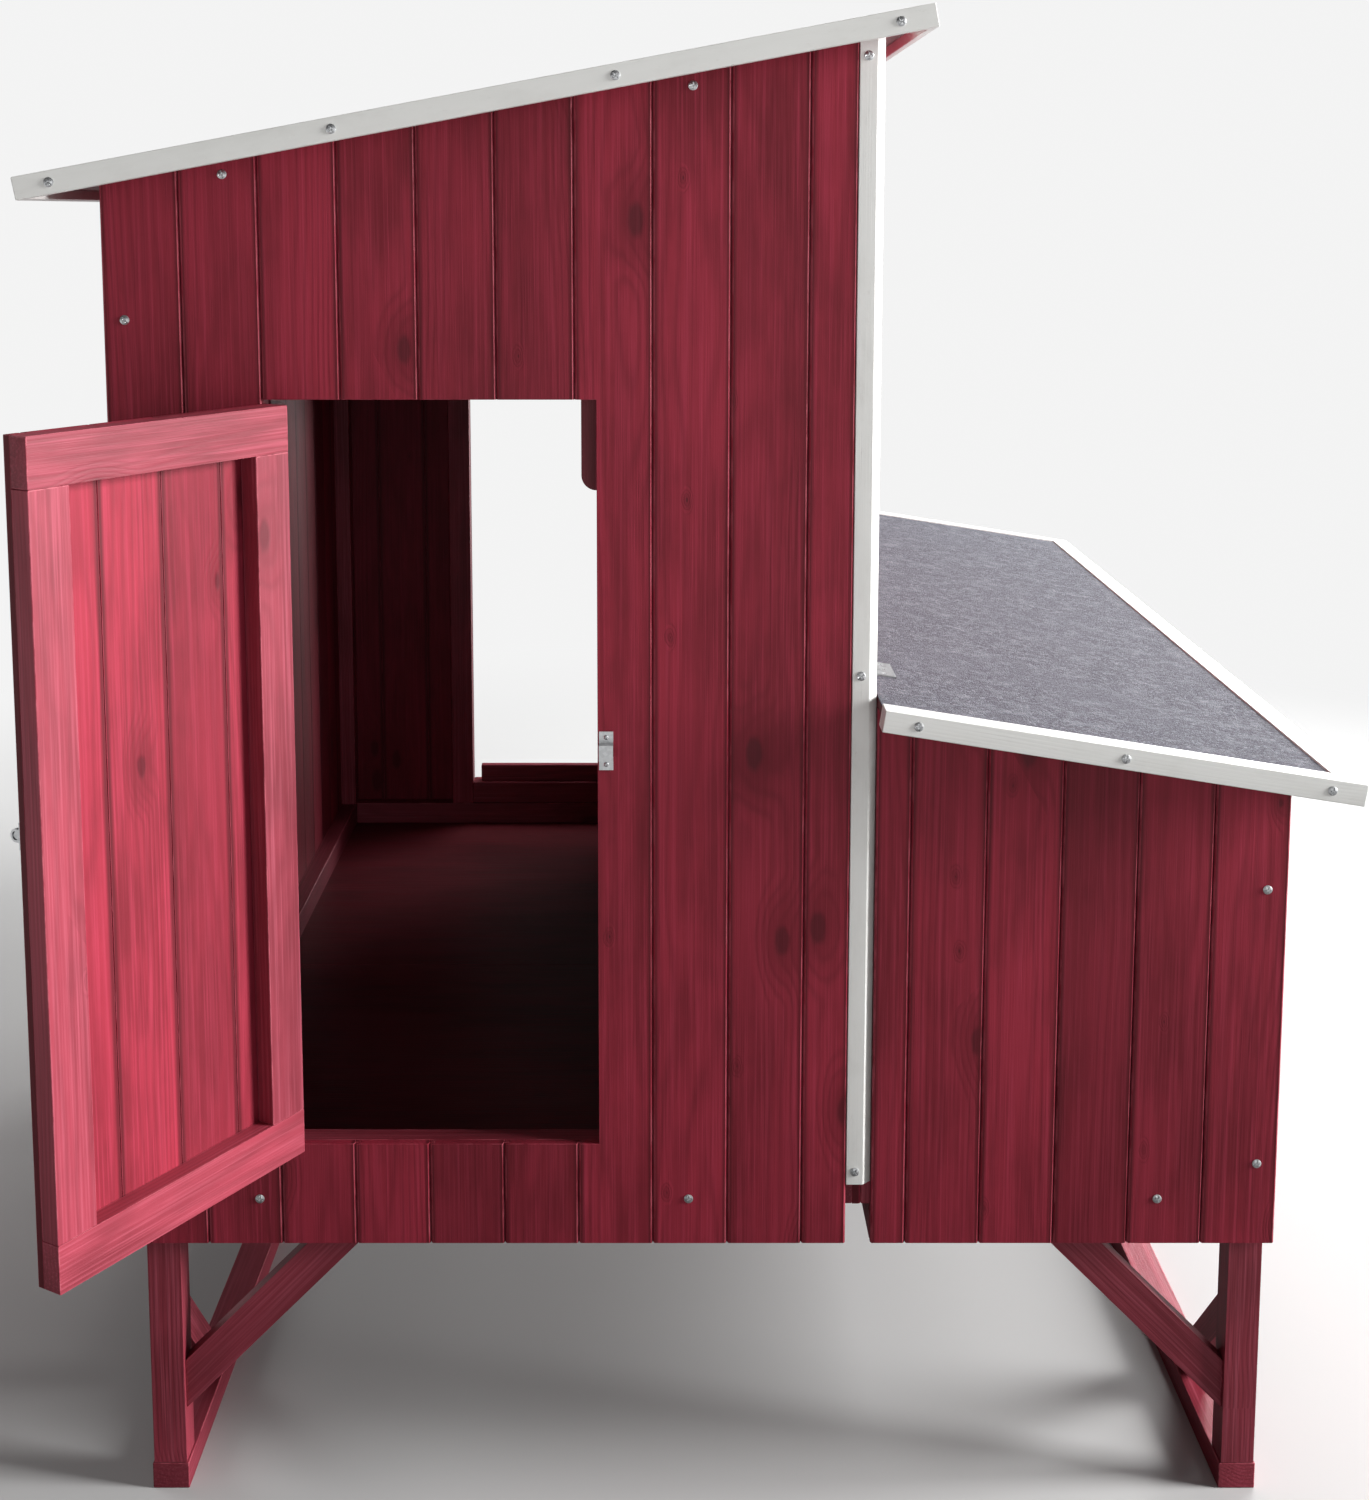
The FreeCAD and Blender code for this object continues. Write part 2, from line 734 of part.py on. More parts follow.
def lid_hinges():
    """The lid's two hinges: fixed leaves on the hinge rail, moving leaves on the felt."""
    upright, across, home = Vector(1, 0, 0), Vector(0, 1, 0), Vector(0, 0, 0)
    fixed, moving = [], []
    for y in (lid_hinge_inset, house_depth - lid_hinge_inset):
        spot = Vector(lid_axis_x, y - hinge_length / 2, lid_axis_z)
        still, swinging = hinge()
        for group, source, tilt in ((fixed, still, 90.0), (moving, swinging, lid_pitch)):
            lying = [turned(s, -90, upright, home) for s in source]
            group += [turned(s, tilt, across, home).translated(spot) for s in lying]
    return fixed, moving


# ---- doors, drawn closed in the front wall -------------------------------------------------
def door_boards(doorway_left, threshold, first):
    """A door's boards, in line with the wall's own joints, which are counted from first."""
    x0 = doorway_left + door_gap
    low = doorway_sill + threshold + door_gap
    return board_run(first, x0, x0 + door_width, low, doorway_top - door_gap)


def door_frame(doorway_left, threshold):
    """Two rails and two stiles behind a door's boards."""
    x0, x1 = doorway_left + door_gap, doorway_left + door_gap + door_width
    y0, y1 = board_thickness, door_thickness
    z0, z1 = doorway_sill + threshold + door_gap, doorway_top - door_gap
    w = door_frame_width
    return [box(x0, x1, y0, y1, z0, z0 + w), box(x0, x1, y0, y1, z1 - w, z1),
            box(x0, x0 + w, y0, y1, z0 + w, z1 - w), box(x1 - w, x1, y0, y1, z0 + w, z1 - w)]


def bolt_barrel(doorway_left):
    """A bolt's back plate with its two guides."""
    edge = doorway_left + doorway_width - door_gap - bolt_plate_setback
    start = edge - bolt_plate_length
    half = bolt_plate_height / 2
    plate = box(start, edge, -bolt_plate_thickness, 0, bolt_height - half, bolt_height + half)
    outer = bolt_radius + bolt_play + barrel_wall
    for x in (start, edge - barrel_length):
        round_part = Part.makeCylinder(outer, barrel_length, Vector(x, -bolt_axis_stand,
                                       bolt_height), Vector(1, 0, 0))
        foot = box(x, x + barrel_length, -bolt_axis_stand, 0, bolt_height - outer,
                   bolt_height + outer)
        plate = plate.fuse(round_part.fuse(foot).cut(box(x, x + barrel_length, 0, HUGE,
                                                         0, HUGE)))
    bore = Part.makeCylinder(bolt_radius + bolt_play, HUGE / 10,
                             Vector(start - 1, -bolt_axis_stand, bolt_height), Vector(1, 0, 0))
    return [plate.cut(bore).removeSplitter()]


def bolt_rod(doorway_left):
    """The sliding bolt, drawn back, with its knob between the guides."""
    edge = doorway_left + doorway_width - door_gap
    tip = edge - bolt_nose_setback
    rod = Part.makeCylinder(bolt_radius, bolt_rod_length,
                            Vector(tip - bolt_rod_length, -bolt_axis_stand, bolt_height),
                            Vector(1, 0, 0))
    guide = edge - bolt_plate_setback - bolt_plate_length + barrel_length
    x = guide + bolt_stem_gap + bolt_stem_radius
    stem = Part.makeCylinder(bolt_stem_radius, bolt_knob_reach - bolt_axis_stand - bolt_knob_radius,
                             Vector(x, -bolt_axis_stand, bolt_height), Vector(0, -1, 0))
    knob = Part.makeSphere(bolt_knob_radius,
                           Vector(x, bolt_knob_radius - bolt_knob_reach, bolt_height))
    return [rod.fuse(stem).fuse(knob).removeSplitter()]


def keeper(doorway_left):
    """The raised strap on the wall that the bolt slides into."""
    x0 = doorway_left + doorway_width + keeper_gap
    x1 = x0 + keeper_width
    high = keeper_height / 2
    bridge = keeper_bridge / 2
    out = bolt_axis_stand + bolt_radius + 2 * bolt_play + keeper_strap
    s = keeper_strap
    flat = box(x0, x1, -s, 0, bolt_height - high, bolt_height + high)
    arch = box(x0, x1, -out, 0, bolt_height - bridge, bolt_height + bridge)
    hollow = box(x0, x1, -out + s, 0, bolt_height - bridge + s, bolt_height + bridge - s)
    return [flat.fuse(arch).cut(hollow).removeSplitter()]


def door_stop(doorway_left):
    """A block behind the jamb at the top that the closed door meets, with a round corner."""
    jamb = doorway_left + doorway_width
    x0, x1 = jamb - stop_overlap, jamb - stop_overlap + stop_width
    z1 = doorway_top + batten_width / 2
    block = box(x0, x1, wall_thickness, wall_thickness + stop_thickness, z1 - stop_height, z1)
    for edge in block.Edges:
        middle = edge.CenterOfMass
        if abs(middle.x - x0) < near and abs(middle.z - z1 + stop_height) < near:
            return [block.makeFillet(stop_corner_radius, [edge])]
    raise ValueError("the door stop has no corner to round")


def swing(shapes, doorway_left):
    """Opens closed door pieces to the angle they rest at."""
    axis = Vector(doorway_left + door_gap / 2, door_axis_y, 0)
    return [turned(s, -door_open_angle, Vector(0, 0, 1), axis) for s in shapes]


def door_set(doorway_left, threshold, first):
    """A front door's pieces by name: those that swing with it, and those on the wall."""
    fixed_leaves, moving_leaves = door_hinges(doorway_left)
    swinging = {"door_boards": door_boards(doorway_left, threshold, first),
                "door_frame": door_frame(doorway_left, threshold),
                "door_hinge_leaves": moving_leaves,
                "door_bolt_barrel": bolt_barrel(doorway_left),
                "door_bolt": bolt_rod(doorway_left)}
    fixed = {"jamb_hinge_leaves": fixed_leaves, "bolt_keepers": keeper(doorway_left),
             "door_stops": door_stop(doorway_left)}
    return {name: swing(shapes, doorway_left) for name, shapes in swinging.items()}, fixed


def turned_to_back(shapes):
    """Front door pieces, drawn at the back doorway's place, half turned into that doorway."""
    middle = Vector(back_doorway_left + doorway_width / 2, house_depth / 2, 0)
    return [turned(s, 180, Vector(0, 0, 1), middle) for s in shapes]


# ---- inside --------------------------------------------------------------------------------
def dividers():
    """Upright boards between the nests."""
    x0, x1 = side_face, nest_outer - board_thickness - batten_depth
    pieces = []
    for y in divider_middles():
        panel = box(x0, x1, y - divider_thickness / 2, y + divider_thickness / 2,
                    floor_height, HUGE / 3)
        pieces.append(panel.common(below_lid(divider_top_gap)))
    return solids(pieces)


def perch():
    """The roosting bar along the house and the brackets that hold its ends."""
    x1 = frame_right - batten_depth - perch_gap
    x0 = x1 - perch_width
    z0 = floor_height + perch_height - perch_depth
    y0, y1 = wall_thickness + perch_play, house_depth - wall_thickness - perch_play
    bar = box(x0, x1, y0, y1, z0, z0 + perch_depth)
    corners = [e for e in bar.Edges if abs(e.Length - (y1 - y0)) < near
               and e.CenterOfMass.z > z0 + near]
    bar = bar.makeFillet(perch_rounding, corners)
    wall = perch_bracket_wall
    bracket = box(x0 - wall, x1 + wall, wall_thickness,
                  wall_thickness + perch_bracket_thickness,
                  z0 - perch_bracket_height + perch_depth, z0 + perch_depth)
    slot = box(x0 - perch_play, x1 + perch_play, 0, house_depth, z0, HUGE)
    return [bar], [bracket.cut(slot)]


def threshold_bar():
    """The bar across the back doorway's sill that keeps the litter in."""
    x0 = back_doorway_left + threshold_end_gap
    x1 = back_doorway_left + doorway_width - threshold_end_gap
    y1 = house_depth - board_thickness
    return [box(x0, x1, y1 - threshold_thickness, y1, doorway_sill,
                doorway_sill + threshold_height)]


# ---- screws --------------------------------------------------------------------------------
def screw_head(point, direction):
    """A domed screw head with a cross recess, on a face at a point."""
    rise = screw_head_height
    ball = (screw_head_radius ** 2 + rise ** 2) / (2 * rise)
    dome = Part.makeSphere(ball, Vector(0, 0, rise - ball))
    dome = dome.common(Part.makeCylinder(screw_head_radius, rise + 1))
    half, width = screw_recess_length / 2, screw_recess_width / 2
    low = rise - screw_recess_depth
    dome = dome.cut(box(-half, half, -width, width, low, rise + 1))
    dome = dome.cut(box(-width, width, -half, half, low, rise + 1))
    turn = FreeCAD.Rotation(Vector(0, 0, 1), direction)
    dome.Placement = FreeCAD.Placement(point, turn)
    return dome


def gable_screws():
    """Screws in the front walls: along the top and bottom rails and up the posts."""
    foot = floor_height + foot_screw_share * batten_width
    spots = [(board_right * share, foot) for share in foot_screw_shares]
    for share in top_screw_shares:
        x = board_right * share
        spots.append((x, deck_underside(x) - batten_width / 2))
    post = board_thickness + batten_depth / 2
    spots += [(post, eave_height - post_screw_drop), (post, floor_height + post_screw_rise)]
    nest_post = nest_outer - board_thickness - batten_depth / 2
    spots += [(nest_post, lid_underside(nest_post) - nest_screw_drop),
              (nest_post, floor_height + nest_screw_rise), (nest_post - nest_screw_inset, foot)]
    return [screw_head(Vector(x, 0, z), Vector(0, -1, 0)) for x, z in spots]


def side_screws():
    """Screws in the left wall and in the nest box's outer wall, along their rails."""
    low = floor_height + batten_width / 2
    left_top = deck_underside(frame_left) - batten_width / 2
    nest_top = lid_underside(nest_outer) - lid_play - batten_width / 2
    heads = []
    for share in side_screw_shares:
        y = house_depth * share
        for z in (low, left_top):
            heads.append(screw_head(Vector(0, y, z), Vector(-1, 0, 0)))
        for z in (low, nest_top):
            heads.append(screw_head(Vector(nest_outer, y, z), Vector(1, 0, 0)))
    return heads


def trim_screws():
    """Screws in the front corner trim, near its ends and where the lid meets it."""
    x = (board_right + house_width - trim_chamfer) / 2
    heights = (floor_height + trim_foot + trim_screw_foot, lid_height + trim_screw_lid,
               deck_underside(x) - trim_screw_top)
    return [screw_head(Vector(x, 0, z), Vector(0, -1, 0)) for z in heights]


def fascia_screws():
    """Screws in the roof's front fascia and in the lid's front batten."""
    lid_start_u, lid_end_u = lid_span()
    lid_middle = lid_felt_recess - hinge_stand - lid_trim_height / 2
    rows = []
    for start, end, z, count in ((0.0, roof_length, -fascia_height / 2, fascia_screw_count),
                                 (lid_start_u, lid_end_u, lid_middle, lid_edge_screw_count)):
        step = (end - start - 2 * edge_screw_inset) / (count - 1)
        rows.append([screw_head(Vector(start + edge_screw_inset + n * step,
                                       -roof_overhang_ends, z), Vector(0, -1, 0))
                     for n in range(count)])
    return tilt_roof(rows[0]), tilt_lid(rows[1])


# ---- the assembly --------------------------------------------------------------------------
def write_walls():
    """Wall boards, wall frames, corner trims and the hinge rail."""
    write("front_wall_boards", gable_boards(front_doorway_left))
    write("back_wall_boards", mirrored_y(gable_boards(back_doorway_left)))
    write("left_wall_boards", left_boards())
    write("right_wall_boards", right_boards())
    write("nest_end_boards", nest_end_boards() + mirrored_y(nest_end_boards()))
    write("nest_outer_boards", nest_outer_boards())
    write("front_wall_frame", gable_frame(front_doorway_left))
    write("back_wall_frame", mirrored_y(gable_frame(back_doorway_left)))
    write("left_wall_frame", left_frame())
    write("right_wall_frame", right_frame())
    write("nest_frame", nest_frame())
    write("front_corner_trims", corner_trim())
    write("back_corner_trims", mirrored_y(corner_trim()))
    write("lid_hinge_rail", [hinge_rail()])


def write_base():
    """Floor, bearers, legs, skids and braces."""
    front, back = floor_halves()
    write("floor_panel_front", [front])
    write("floor_panel_back", [back])
    write("nest_floor", nest_floor())
    write("floor_bearers", bearers())
    for side, x in zip(("left", "right"), leg_lefts()):
        write("skid_" + side, [skid(x)])
        write("leg_front_" + side, [leg(x)])
        write("leg_back_" + side, mirrored_y([leg(x)]))
        write("skid_braces_" + side, [skid_brace(x)] + mirrored_y([skid_brace(x)]))
    braces = [face_brace(x, inward) for x, inward in zip(leg_lefts(), (1, -1))]
    write("face_braces_front", braces)
    write("face_braces_back", mirrored_y(braces))


def write_roof():
    """Roof deck, felt, fascias and rafters."""
    write("roof_deck", roof_deck())
    write("roof_felt", roof_felt())
    write("roof_rafters", rafters())
    for name, shapes in roof_fascias().items():
        write("roof_fascia_" + name, shapes)


def write_lid():
    """The nest lid, its edge battens and its hinges."""
    fixed, moving = lid_hinges()
    write("lid_panel", lid_panel())
    write("lid_felt", lid_felt())
    write("lid_trims", lid_trims())
    write("lid_hinge_leaves", moving)
    write("lid_rail_hinge_leaves", fixed)


def write_doors():
    """Both doors with their hinges, bolts and keepers, and the door stops."""
    middle = back_doorway_left + doorway_width / 2
    swinging, fixed = door_set(front_doorway_left, 0.0, 0.0)
    back_swinging, back_fixed = door_set(back_doorway_left, threshold_height,
                                         2 * middle - back_joint_boards * board_cover)
    for name in swinging:
        write("front_" + name, swinging[name])
        write("back_" + name, turned_to_back(back_swinging[name]))
    for name in fixed:
        write(name, fixed[name] + turned_to_back(back_fixed[name]))


def write_inside():
    """Nest dividers, perch and threshold."""
    bar, brackets = perch()
    write("nest_dividers", dividers())
    write("perch", bar)
    write("perch_brackets", brackets + mirrored_y(brackets))
    write("back_threshold_bar", threshold_bar())


def write_screws():
    """Domed screw heads on the walls and trims, and on the lid."""
    roof, lid = fascia_screws()
    ends = gable_screws() + trim_screws() + roof
    write("house_screws", ends + mirrored_y(ends) + side_screws())
    write("lid_screws", lid + mirrored_y(lid))


os.makedirs("parts", exist_ok=True)
write_walls()
write_base()
write_roof()
write_lid()
write_doors()
write_inside()
write_screws()
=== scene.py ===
"""Looks of a timber chicken coop: stained boards and battens, white edge trims, mineral felt.

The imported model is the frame. Every timber piece gets its own grain, which runs along its
longest edge, and softly rounded edges. Cross-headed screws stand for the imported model's plain
domed ones, and more are added in the hinges, bolts and keepers.
Metres throughout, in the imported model's own frame.
"""
import json
import math
import random

import bmesh
import bpy
import numpy as np
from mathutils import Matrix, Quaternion, Vector


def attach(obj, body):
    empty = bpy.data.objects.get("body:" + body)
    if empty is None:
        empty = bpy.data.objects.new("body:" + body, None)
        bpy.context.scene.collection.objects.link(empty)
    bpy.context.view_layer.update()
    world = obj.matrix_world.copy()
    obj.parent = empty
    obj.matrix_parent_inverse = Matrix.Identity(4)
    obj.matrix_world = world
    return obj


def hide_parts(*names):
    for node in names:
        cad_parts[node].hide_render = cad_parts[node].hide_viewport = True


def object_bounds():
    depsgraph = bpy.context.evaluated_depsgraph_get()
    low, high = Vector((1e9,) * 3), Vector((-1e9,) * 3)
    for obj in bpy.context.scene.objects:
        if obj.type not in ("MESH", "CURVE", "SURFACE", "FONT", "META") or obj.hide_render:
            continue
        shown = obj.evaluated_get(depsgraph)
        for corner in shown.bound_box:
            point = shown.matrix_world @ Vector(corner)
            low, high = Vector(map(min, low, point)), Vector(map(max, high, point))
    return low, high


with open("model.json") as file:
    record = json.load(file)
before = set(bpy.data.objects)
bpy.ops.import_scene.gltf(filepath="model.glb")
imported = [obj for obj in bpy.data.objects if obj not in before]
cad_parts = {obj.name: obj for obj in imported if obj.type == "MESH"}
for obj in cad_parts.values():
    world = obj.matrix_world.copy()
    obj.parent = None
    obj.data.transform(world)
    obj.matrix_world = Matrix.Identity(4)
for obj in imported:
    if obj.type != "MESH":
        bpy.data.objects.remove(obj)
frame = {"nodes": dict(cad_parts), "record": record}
cad_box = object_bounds()
nodes = frame["nodes"]

# ---- camera, floor and light ---------------------------------------------------------------
CAMERA_BACK = 1.633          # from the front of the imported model's box to the camera
CAMERA_LEFT = 0.0415         # from the coop's middle plane
CAMERA_HEIGHT = 1.321
CAMERA_TILT = 82.65          # degrees; 90 would be level
CAMERA_LENS = 48.0           # millimetres on a 36 mm sensor
CAMERA_SHIFT = (0.0168, -0.1867)
FLOOR_RADIUS = 40.0
FLOOR_FADE = (1.4, 3.4)      # from here to there the floor turns into the surroundings' white
FLOOR_SIDES = 96
SKY_PALE = 0.90              # how bright the surroundings and the far floor look
SKY_LIGHT = 0.10             # how strongly the surroundings light the coop
FLOOR_PALE = (0.50, 0.50, 0.497)   # the floor's paint as the camera sees it
FLOOR_BOUNCE = (0.15, 0.15, 0.15)  # the paint for the light that the floor throws back
LIGHTS = (                   # name, size, watts, place, and what it points at
    ("key_light", (2.6, 4.0), 1600.0, Vector((7.7, -1.5, 3.0)), Vector((-0.3, -0.8, 0.85))),
    ("fill_light", (1.2, 1.6), 14.0, Vector((0.5, -4.4, 1.4)), Vector((-0.4, 0.0, 0.8))),
    ("back_light", (1.2, 1.6), 130.0, Vector((2.4, 3.7, 1.7)), Vector((-0.4, 0.4, 0.8))),
    ("left_light", (2.4, 2.4), 75.0, Vector((-5.0, 2.0, 2.6)), Vector((-0.5, 0.2, 0.7))),
    ("top_light", (3.0, 3.0), 168.0, Vector((1.2, 1.6, 4.8)), Vector((0.2, 0.0, 0.8))))

# ---- colours, linear ------------------------------------------------------------------------
STAIN_DARK = (0.150, 0.0110, 0.0200)
STAIN_MID = (0.268, 0.0200, 0.0385)
STAIN_LIGHT = (0.355, 0.0350, 0.0670)
BATTEN_DARK = (0.165, 0.0160, 0.0270)
BATTEN_MID = (0.290, 0.0330, 0.0550)
BATTEN_LIGHT = (0.430, 0.0850, 0.1250)
STAIN_KNOT = (0.060, 0.0065, 0.0105)
STAIN_WORN = (0.420, 0.0850, 0.1150)
# painted shade: the dark colour a board takes near its grooved long edges
STAIN_GROOVE_SHADE = (0.085, 0.0060, 0.0110)
FLOOR_DARK = (0.100, 0.0130, 0.0190)
FLOOR_LIGHT = (0.180, 0.0240, 0.0330)
PAINT_CLEAN = (0.800, 0.800, 0.775)
PAINT_DULL = (0.680, 0.675, 0.645)
PAINT_WORN = (0.560, 0.540, 0.500)
FELT_DARK = (0.049, 0.049, 0.065)
FELT_MID = (0.083, 0.084, 0.107)
FELT_LIGHT = (0.180, 0.182, 0.212)
ZINC_DARK = (0.42, 0.43, 0.44)
ZINC_LIGHT = (0.70, 0.71, 0.72)

# ---- timber ---------------------------------------------------------------------------------
RING_SPACING = 0.0042
PITH_DEPTH = (0.030, 0.090)  # how far under a board's face its tree's middle lies
PITH_ASIDE = 0.030
GRAIN_SHIFT = 40.0           # how far along its tree a board may be cut
KNOTS_PER_METRE = (3.3, 7.0)  # along the grain and across it
KNOT_SIZE = (0.014, 0.072)   # as a share of the knots' spacing
GROOVE_SHADE_RIM = (0.0004, 0.0048)  # how far in from its edges a board is darkened with painted shade for its grooves
BEVEL_ANGLE = 30.0           # degrees; flatter edges stay as they are
BEVEL_SEGMENTS = 2
BEVELS = {"stained_boards": 0.0005, "stained_battens": 0.0012, "floor_board": 0.0004,
          "white_paint": 0.0010, "mineral_felt": 0.0006}

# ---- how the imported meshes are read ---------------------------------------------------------
SOLID_SPACING = 4.0          # apart enough that no two solids touch while they are merged
MERGE_DISTANCE = 4e-5
LEVEL_PLAY = 1e-4            # two heights closer than this are one
PLACE_DIGITS = 6             # corners that agree to so many digits are one
FACING_DIGITS = 2            # polygons whose normals agree to so many digits face one way
SHARP = 0.9                  # an edge is sharp if its two normals' product is below this
SQUARE = 0.05                # two directions are square if their product is below this
LEVEL = 0.99                 # a polygon lies square to an axis if the product is above this
OBLIQUE = 0.9                # a polygon is oblique if its product with each axis is below this

# ---- sizes of the screws --------------------------------------------------------------------
SCREW_RINGS = 8
SCREW_TURNS = 36
CROSS_ARM = 0.14             # the recess, as shares of the head's radius
CROSS_REACH = 0.66
CROSS_DEPTH = 0.30
DOME_SIDE = 0.35             # upright part of a domed head's height
LEAF_EDGE = 0.020            # hinge leaves have longer edges than this, and their pins shorter
CONE_POLYGON = 0.004         # the polygons of a conical hole are smaller than this
CONE_FACING = (0.3, 0.9)     # and their product with the leaf's own normal lies between these
HOLE_SPACING = 0.008
SUNK_PLAY = 0.0001
SUNK_TAPER = 0.65
SUNK_DEPTH = 0.35
PLATE_SCREW_RADIUS = 0.0024
PLATE_SCREW_SIDE = 0.0005
PLATE_SCREW_CROWN = 0.0009
PLATES = {                   # a plate's thickness, and its screws' insets along and across it
    "front_door_bolt_barrel": (0.0015, 0.0040, 0.0032),
    "back_door_bolt_barrel": (0.0015, 0.0040, 0.0032),
    "bolt_keepers": (0.0018, 0.0058, 0.0070)}


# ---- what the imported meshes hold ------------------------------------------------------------
def solids_of(mesh):
    """Each closed solid as (its polygons, its sharp edges from the longest on), in mesh order."""
    names, place_of = {}, []
    for vertex in mesh.vertices:
        key = tuple(round(c, PLACE_DIGITS) for c in vertex.co)
        place_of.append(names.setdefault(key, len(names)))
    open_edges, polygons, edges, found = {}, [], [], []
    for polygon in mesh.polygons:
        polygons.append(polygon.index)
        corners = list(polygon.vertices)
        for a, b in zip(corners, corners[1:] + corners[:1]):
            edge = frozenset((place_of[a], place_of[b]))
            if edge not in open_edges:
                open_edges[edge] = polygon.normal.copy()
            elif open_edges.pop(edge).dot(polygon.normal) < SHARP:
                edges.append(mesh.vertices[b].co - mesh.vertices[a].co)
        if not open_edges:
            found.append((polygons, sorted(edges, key=lambda e: -e.length)))
            polygons, edges = [], []
    if polygons:
        found.append((polygons, sorted(edges, key=lambda e: -e.length)))
    return found


def axes_of(edges):
    """A solid's own axes: along its longest edge, then across its face, then through it."""
    along = edges[0].normalized() if edges else Vector((0, 0, 1))
    if max(along, key=abs) < 0:
        along.negate()
    across = next((e for e in edges if abs(e.normalized().dot(along)) < SQUARE), None)
    across = across.normalized() if across else along.orthogonal().normalized()
    return along, across, along.cross(across).normalized()


def face_width(mesh, polygons, axes):
    """Where a solid's narrower broad face starts and ends across the grain."""
    depths = {}
    for p in polygons:
        if abs(mesh.polygons[p].normal.dot(axes[2])) > LEVEL:
            depths[p] = mesh.vertices[mesh.polygons[p].vertices[0]].co.dot(axes[2])
    spans = []
    for level in (min(depths.values()), max(depths.values())):
        reach = [mesh.vertices[v].co.dot(axes[1]) for p, depth in depths.items()
                 if abs(depth - level) < LEVEL_PLAY for v in mesh.polygons[p].vertices]
        spans.append((min(reach), max(reach)))
    return min(spans, key=lambda span: span[1] - span[0])


def mark_solids(thing):
    """Writes each solid's number, tone, grain and rim coordinates on a node's mesh.

    Gives the polygons that lie oblique to their solid, which are its chamfers.
    """
    mesh = thing.data
    draw = random.Random(thing.name)
    count = len(mesh.vertices)
    solid, tone, grain = np.zeros(count), np.zeros(count), np.zeros((count, 3))
    across, half_width = np.zeros(count), np.zeros(count)
    oblique = []
    for number, (polygons, edges) in enumerate(solids_of(mesh)):
        axes = axes_of(edges)
        spots = sorted({v for p in polygons for v in mesh.polygons[p].vertices})
        places = np.array([mesh.vertices[v].co for v in spots])
        local = (places - places.mean(0)) @ np.array(axes).T
        shift = (draw.uniform(0, GRAIN_SHIFT), draw.uniform(-PITH_ASIDE, PITH_ASIDE),
                 draw.uniform(*PITH_DEPTH))
        solid[spots] = number
        tone[spots] = draw.random()
        grain[spots] = local + np.array(shift)
        start, end = face_width(mesh, polygons, axes)
        across[spots] = places @ np.array(axes[1]) - (start + end) / 2
        half_width[spots] = (end - start) / 2
        for p in polygons:
            normal = mesh.polygons[p].normal
            if max(abs(normal.dot(a)) for a in axes) < OBLIQUE:
                oblique.append(p)
    for name, kind, values in (("solid", "FLOAT", solid), ("tone", "FLOAT", tone),
                               ("across", "FLOAT", across),
                               ("half_width", "FLOAT", half_width),
                               ("grain", "FLOAT_VECTOR", grain)):
        layer = mesh.attributes.new(name, kind, "POINT")
        field = "vector" if kind == "FLOAT_VECTOR" else "value"
        layer.data.foreach_set(field, values.astype(np.float32).ravel())
    return oblique


def merge_group():
    """Geometry nodes that join the doubled corners of each solid, and never two solids."""
    group = bpy.data.node_groups.new("merge_each_solid", "GeometryNodeTree")
    group.interface.new_socket("Geometry", in_out="INPUT", socket_type="NodeSocketGeometry")
    group.interface.new_socket("Geometry", in_out="OUTPUT", socket_type="NodeSocketGeometry")
    add, link = group.nodes.new, group.links.new
    start, end = add("NodeGroupInput"), add("NodeGroupOutput")
    place = add("GeometryNodeInputPosition")
    keep = add("GeometryNodeStoreNamedAttribute")
    keep.data_type, keep.domain = "FLOAT_VECTOR", "POINT"
    keep.inputs["Name"].default_value = "kept_place"
    number = add("GeometryNodeInputNamedAttribute")
    number.data_type = "FLOAT"
    number.inputs["Name"].default_value = "solid"
    times = add("ShaderNodeMath")
    times.operation = "MULTIPLY"
    times.inputs[1].default_value = SOLID_SPACING
    apart, offset = add("GeometryNodeSetPosition"), add("ShaderNodeCombineXYZ")
    merge = add("GeometryNodeMergeByDistance")
    merge.inputs["Distance"].default_value = MERGE_DISTANCE
    kept = add("GeometryNodeInputNamedAttribute")
    kept.data_type = "FLOAT_VECTOR"
    kept.inputs["Name"].default_value = "kept_place"
    back, forget = add("GeometryNodeSetPosition"), add("GeometryNodeRemoveAttribute")
    forget.inputs["Name"].default_value = "kept_place"
    link(start.outputs[0], keep.inputs["Geometry"])
    link(place.outputs[0], keep.inputs["Value"])
    link(number.outputs["Attribute"], times.inputs[0])
    link(times.outputs[0], offset.inputs["X"])
    link(keep.outputs[0], apart.inputs["Geometry"])
    link(offset.outputs[0], apart.inputs["Offset"])
    link(apart.outputs[0], merge.inputs["Geometry"])
    link(merge.outputs[0], back.inputs["Geometry"])
    link(kept.outputs["Attribute"], back.inputs["Position"])
    link(back.outputs[0], forget.inputs["Geometry"])
    link(forget.outputs[0], end.inputs[0])
    return group


def round_edges(thing, width, group):
    """Softly rounded edges on each solid of a node; the new faces take the worn finish."""
    mesh = thing.data
    if "custom_normal" in mesh.attributes:
        mesh.attributes.remove(mesh.attributes["custom_normal"])
    mesh.shade_smooth()
    merge = thing.modifiers.new("merge", "NODES")
    merge.node_group = group
    bevel = thing.modifiers.new("edges", "BEVEL")
    bevel.width = width
    bevel.segments = BEVEL_SEGMENTS
    bevel.limit_method = "ANGLE"
    bevel.angle_limit = math.radians(BEVEL_ANGLE)
    bevel.use_clamp_overlap = True
    bevel.material = len(mesh.materials) - 1
    normals = thing.modifiers.new("normals", "WEIGHTED_NORMAL")
    normals.keep_sharp = False


